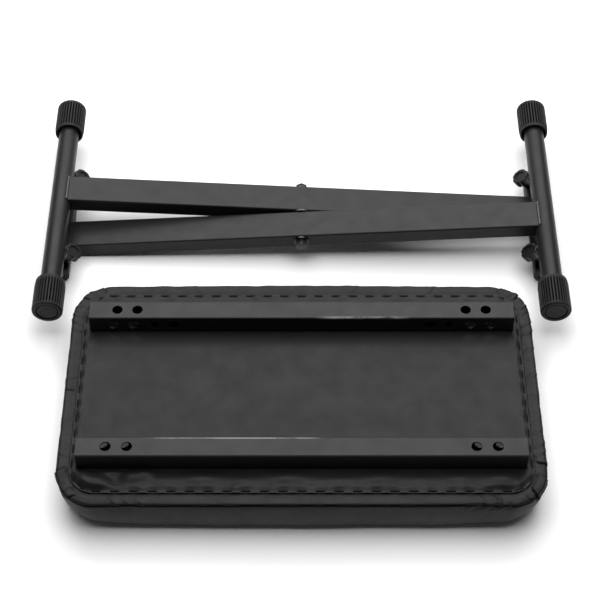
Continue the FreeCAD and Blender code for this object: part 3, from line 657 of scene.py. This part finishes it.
# wrinkles that cross the strip: place, slant, height, width
WRINKLES = [
    ((-0.205, -0.154), 0.9, 0.9, 1.9), ((-0.192, -0.154), 0.9, 0.8, 1.7),
    ((-0.176, -0.154), 0.8, 0.6, 1.9), ((0.205, -0.154), 0.9, 1.2, 2.1),
    ((0.214, -0.154), 0.8, -1.0, 1.6), ((0.190, -0.154), 0.9, 0.8, 1.8),
    ((-0.268, 0.082), -0.5, 1.1, 1.9), ((-0.268, 0.093), -0.6, 1.2, 1.8),
    ((-0.268, 0.104), -0.5, 0.9, 2.0), ((0.268, 0.090), 0.9, 1.3, 2.3),
    ((0.268, 0.076), 0.8, 1.2, 2.3), ((0.268, 0.052), 0.6, 0.9, 2.6),
    ((0.268, 0.016), 0.5, 0.9, 2.6), ((0.268, 0.104), 1.0, -1.0, 1.9),
    ((0.268, -0.060), 0.5, 0.8, 2.2), ((0.268, -0.078), 0.6, 1.0, 1.9),
    ((-0.120, 0.154), 0.6, 0.6, 2.6), ((0.060, 0.154), -0.7, 0.6, 2.6),
    ((0.150, 0.154), -0.8, 0.8, 2.2), ((-0.268, 0.016), 0.3, 0.7, 1.9),
    ((0.247, 0.140), -0.6, 1.1, 2.0), ((-0.243, 0.143), 0.7, 1.0, 2.0),
    ((-0.259, 0.122), 0.4, 0.8, 2.0), ((0.262, 0.118), 0.5, 1.0, 2.2),
    ((-0.262, -0.088), -0.4, 0.8, 2.0), ((0.262, -0.088), 0.6, 0.9, 2.0),
]
# diagonal pulls down the side at the front right corner: x, height
PULLS = ((0.192, 1.3), (0.201, -1.3), (0.209, 2.2), (0.217, -1.4), (0.225, 1.7), (0.234, -1.0))
SEAM = (-0.268, -0.0015)    # the cover's sewn join, at the left
SEAM_END = 52 * MM


def cover_relief(outline, run, hem_row):
    """Height of the pleats, wrinkles and seam over the plain form, and the shade in them."""
    height = np.zeros((len(run), len(outline.s)))
    shade = np.zeros_like(height)
    # each fold's shade is painted onto the vinyl through the crease attribute
    for place, slant, bend, high, reach, inner, outer in PLEATS:
        fold, dark = pleat(outline, run, place, slant, bend, high * MM, reach * MM, inner * MM, outer * MM)
        height += fold
        shade = np.maximum(shade, dark)
    for place, slant, high, width in WRINKLES:
        outer = (8 + 5 * rng.random()) * MM
        height += ridge(outline, run, place, slant, high * MM, width * MM, 0, outer)
    for x, high in PULLS:
        height += ridge(outline, run, (x, -0.154), -0.8, high * MM, 2.2 * MM, 12 * MM, 17 * MM)
    # a raised seam with a groove along its middle, and painted shade in the groove
    height += ridge(outline, run, SEAM, 0.0, 0.55 * MM, 4.0 * MM, 0, SEAM_END)
    height += ridge(outline, run, SEAM, 0.0, -1.5 * MM, 0.9 * MM, 0, SEAM_END)
    shade = np.maximum(shade, ridge(outline, run, SEAM, 0.0, 0.8, 0.9 * MM, 0, SEAM_END))
    # painted shade all along the hem's crease
    shade[hem_row] = np.maximum(shade[hem_row], 0.9)
    # slow unevenness of the strip and side
    hem_zone = np.exp(-((run - 9 * MM) / (9 * MM)) ** 2)[:, None]
    height += hem_zone * waves(outline.s, outline.length, (23, 37, 51, 68), 0.35 * MM)[None, :]
    side_zone = along_run(run, 24 * MM, 52 * MM, 10 * MM, 10 * MM)
    height += side_zone * waves(outline.s, outline.length, (5, 9, 14), 0.35 * MM)[None, :]
    return height, shade


def clear_of_board(grid):
    """Lifts the points of the strip that would dip into the board."""
    over = np.abs(grid[:, :, :2]) - (np.array([SEAT_HALF_X, SEAT_HALF_Y]) - SEAT_CORNER)
    edge = SEAT_CORNER - np.linalg.norm(np.maximum(over, 0), axis=2) - np.minimum(over.max(axis=2), 0)
    on_board = (edge > SEAT_HALF_X - board_high[0] - 2 * MM) & (grid[:, :, 2] > 40 * MM)
    clear = np.maximum(grid[:, :, 2], board_high[2] + BOARD_CLEAR)
    grid[:, :, 2] = np.where(on_board, clear, grid[:, :, 2])


def seat_cover():
    """The vinyl over the pad, one closed piece, face down."""
    outline = Outline(SEAT_HALF_X, SEAT_HALF_Y, SEAT_CORNER, STATION_STEP)
    grid, section = cover_grid(outline)
    grid = swell(grid)
    steps = np.linalg.norm(np.diff(section, axis=0), axis=1)
    run = np.concatenate([[0], np.cumsum(steps)])
    hem_row = int(np.argmin(np.hypot(section[:, 0] - HEM_INSET, section[:, 1] - HEM_HEIGHT)))
    # the run counts outwards from about the lining's edge, past the hem and down the side
    run = run[hem_row] - run + (LINING_EDGE - HEM_INSET)
    height, shade = cover_relief(outline, run, hem_row)
    grid += grid_normals(grid) * height[:, :, None]
    grid[:, :, 2] = np.maximum(grid[:, :, 2], 0.0)
    clear_of_board(grid)
    grid += np.array([SEAT_MIDDLE.x, SEAT_MIDDLE.y, 0.0])
    piece = ring_mesh("seat_cushion", grid)
    # the shade goes to the vinyl as the crease attribute: painted shade in the folds, seam and hem
    crease = piece.data.attributes.new("crease", "FLOAT", "POINT")
    crease.data.foreach_set("value", shade.ravel().astype(np.float32))
    piece.data.materials.append(vinyl())
    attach(piece, "seat")
    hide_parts("seat_cover", "seat_foam")


# ------------------------------------------------------------------ the lining

LINING_CORNER = 30 * MM
LINING_STEP = 2 * MM        # spacing of the lining's grid along its edge
LINING_DEPTH = 130          # the innermost ring's inset, in mm
STAPLE_PITCH = 20 * MM
STAPLE_LINE = 2.5 * MM      # from the lining's edge to the staples
BAR_ROOM = 1.1 * MM         # what the lining may rise between the rails
LOOSENESS = 1.9             # how strongly the loose lining swells
EDGE_DROP = 1.3 * MM        # from the lining's top down to the vinyl
RAIL_HALF = (rail_high[1] - rail_low[1]) / 2
RAIL_AWAY = SEAT_MIDDLE.y - (rail_low[1] + rail_high[1]) / 2    # from the seat's middle line
RAIL_END = rail_high[0]


# soft swells of the loose lining: place in metres, then width, depth and height in mm
SWELLS = [
    (-0.222, -0.124, 17, 10, 3.6), (-0.200, -0.120, 9, 9, -1.2), (-0.183, -0.118, 13, 9, 3.0),
    (-0.150, -0.122, 16, 8, 1.6), (-0.108, -0.120, 22, 9, 2.4), (-0.060, -0.122, 18, 8, 1.4),
    (-0.015, -0.119, 20, 9, 2.4), (0.040, -0.122, 24, 8, 1.6), (0.085, -0.120, 20, 9, 2.2),
    (0.130, -0.121, 18, 8, 1.2), (0.170, -0.120, 16, 9, 2.0), (0.214, -0.121, 20, 10, 3.2),
    (-0.200, 0.122, 20, 9, 2.0), (-0.120, 0.121, 26, 9, 1.6), (-0.030, 0.122, 28, 9, 1.8),
    (0.070, 0.121, 26, 9, 1.4), (0.160, 0.122, 20, 9, 2.0), (0.222, 0.122, 14, 9, 2.2),
    (-0.236, 0.040, 10, 28, 1.0), (-0.236, -0.030, 10, 24, 0.9), (0.236, 0.060, 12, 16, 1.2),
    (0.232, 0.020, 14, 16, 1.4), (0.232, -0.025, 14, 18, 1.3), (0.228, -0.058, 12, 12, 1.0),
    (-0.236, -0.116, 9, 12, 3.0), (-0.206, -0.108, 12, 7, 2.2), (-0.168, -0.112, 9, 8, 2.0),
    (-0.150, 0.014, 70, 16, 1.1), (-0.080, 0.000, 70, 15, 1.3), (-0.010, -0.018, 70, 14, 1.2),
    (0.060, -0.034, 70, 14, 0.8),
    (-0.060, 0.010, 110, 40, 1.0), (0.120, -0.010, 90, 44, 0.8), (0.020, 0.052, 120, 16, 0.6),
]


def lining_swells(x, y):
    """Height of the loose lining's swells."""
    total = np.zeros_like(x)
    for at_x, at_y, wide, deep, high in SWELLS:
        away = ((x - at_x) / (wide * MM)) ** 2 + ((y - at_y) / (deep * MM)) ** 2
        total += LOOSENESS * high * MM * np.exp(-away)
    return total


def seat_lining():
    """The stapled sheet under the seat: tight at the staples and rails, loose between them."""
    width = lining_high[0] - lining_low[0]
    depth = lining_high[1] - lining_low[1]
    outline = Outline(width / 2, depth / 2, LINING_CORNER, LINING_STEP)
    # close rings near the edge, wider ones inside
    insets = np.concatenate([np.arange(0, 40, 1.0), np.arange(40, LINING_DEPTH, 3.0), [LINING_DEPTH]]) * MM
    rings = [np.column_stack([outline.at_inset(d, 4 * MM), np.zeros(len(outline.s))]) for d in insets]
    grid = np.array(rings)
    x, y = grid[:, :, 0], grid[:, :, 1]
    inset = insets[:, None]
    # pulled down at each staple, loose between them
    phase_x = np.cos(2 * math.pi * x / STAPLE_PITCH)
    phase_y = np.cos(2 * math.pi * y / STAPLE_PITCH)
    on_long = (outline.half_y - np.abs(y)) < (outline.half_x - np.abs(x))
    between = 0.5 * (1 - np.where(on_long, phase_x, phase_y))
    uneven = np.maximum(0.3, 1 + waves(outline.s, outline.length, (17, 29, 43), 0.6))[None, :]
    scallop = 1.3 * MM * between * uneven * np.exp(-((inset - 5.5 * MM) / (4.5 * MM)) ** 2)
    pinch = -0.6 * MM * np.exp(-((inset - STAPLE_LINE) / (1.5 * MM)) ** 2) * (1 - 0.7 * between)
    hill = 0.7 * MM * np.exp(-((inset - STAPLE_LINE - 5 * MM) / (2.2 * MM)) ** 2) * (1 - between)
    edge_lift = 0.5 * MM * np.exp(-(inset / (1.5 * MM)) ** 2) * between
    # swells away from the rails and the edge; the top bars pass close above between the rails
    rail_gap = np.maximum(np.abs(np.abs(y) - RAIL_AWAY) - RAIL_HALF, np.abs(x) - RAIL_END)
    free = smooth(rail_gap, 0.5 * MM, 7 * MM) * smooth(inset, STAPLE_LINE, STAPLE_LINE + 6 * MM)
    swells = lining_swells(x, y)
    swells = np.where(np.abs(y) < RAIL_AWAY, BAR_ROOM * np.tanh(swells / BAR_ROOM), swells)
    z = LINING_TOP - 0.15 * MM + edge_lift + pinch + scallop + hill + free * swells
    grid[:, :, 2] = np.where(rail_gap < 0.5 * MM, LINING_TOP - 0.05 * MM, z)
    # a folded edge that drops to the vinyl and turns in below
    skirt = grid[:1].copy()
    skirt[:, :, 2] = LINING_TOP - EDGE_DROP
    under = skirt.copy()
    under[:, :, :2] *= 0.97
    grid = np.concatenate([under, skirt, grid])
    grid += np.array([SEAT_MIDDLE.x, SEAT_MIDDLE.y, 0.0])
    piece = ring_mesh("seat_lining", grid, caps=(False, True))
    piece.data.materials.append(lining_cloth())
    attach(piece, "seat")
    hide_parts("underside_lining")


# ------------------------------------------------------------------ stage


def stage():
    """A plain pale floor and a weak white surround."""
    floor_mesh = bpy.data.meshes.new("floor")
    half = 6.0
    floor_mesh.from_pydata([(-half, -half, 0), (half, -half, 0), (half, half, 0), (-half, half, 0)],
                           [], [(0, 1, 2, 3)])
    floor = bpy.data.objects.new("floor", floor_mesh)
    bpy.context.collection.objects.link(floor)
    floor.location.z = -0.2 * MM    # just clear of the object's lowest faces
    s = Shader("floor_paper")
    s.colour(s.mix(s.noise(2.0), grey(0.80), grey(0.82)))
    s.set(Roughness=0.9)
    floor_mesh.materials.append(s.material)
    world = bpy.data.worlds.new("studio")
    world.use_nodes = True
    background = world.node_tree.nodes["Background"]
    background.inputs["Color"].default_value = (1, 1, 1, 1)
    background.inputs["Strength"].default_value = 0.07
    bpy.context.scene.world = world
    bpy.context.scene.view_settings.view_transform = "Standard"


def softbox(name, location, target, size, power):
    """A rectangular area light, with its size in metres and its power in watts."""
    light = bpy.data.lights.new(name, "AREA")
    light.shape = "RECTANGLE"
    light.size, light.size_y = size
    light.energy = power
    lamp = bpy.data.objects.new(name, light)
    bpy.context.collection.objects.link(lamp)
    lamp.location = location
    aim = Vector(target) - Vector(location)
    lamp.rotation_mode = "QUATERNION"
    lamp.rotation_quaternion = aim.to_track_quat("-Z", "Y")


def camera():
    """A long lens, about 51 degrees above the floor, square on to the seat's front."""
    data = bpy.data.cameras.new("camera")
    data.sensor_width = 36
    data.lens = 97.4
    data.clip_end = 50
    cam = bpy.data.objects.new("camera", data)
    bpy.context.collection.objects.link(cam)
    look = Vector((-1.8 * MM, 26.1 * MM, 0))
    rise = math.radians(51)
    away = 1.968
    cam.location = look + Vector((0, -math.cos(rise), math.sin(rise))) * away
    cam.rotation_mode = "QUATERNION"
    cam.rotation_quaternion = (look - cam.location).to_track_quat("-Z", "Y")
    bpy.context.scene.camera = cam


dress_frame()
seat_cover()
seat_lining()
stage()
softbox("overhead", (0.0, 0.6, 2.2), (0, 0.2, 0), (2.8, 2.8), 108)
softbox("back", (0.0, 2.3, 2.3), (0, 0, 0), (3.4, 1.6), 40)
softbox("low_back", (0.0, 2.5, 0.9), (0, 0, 0), (3.8, 1.4), 28)
camera()
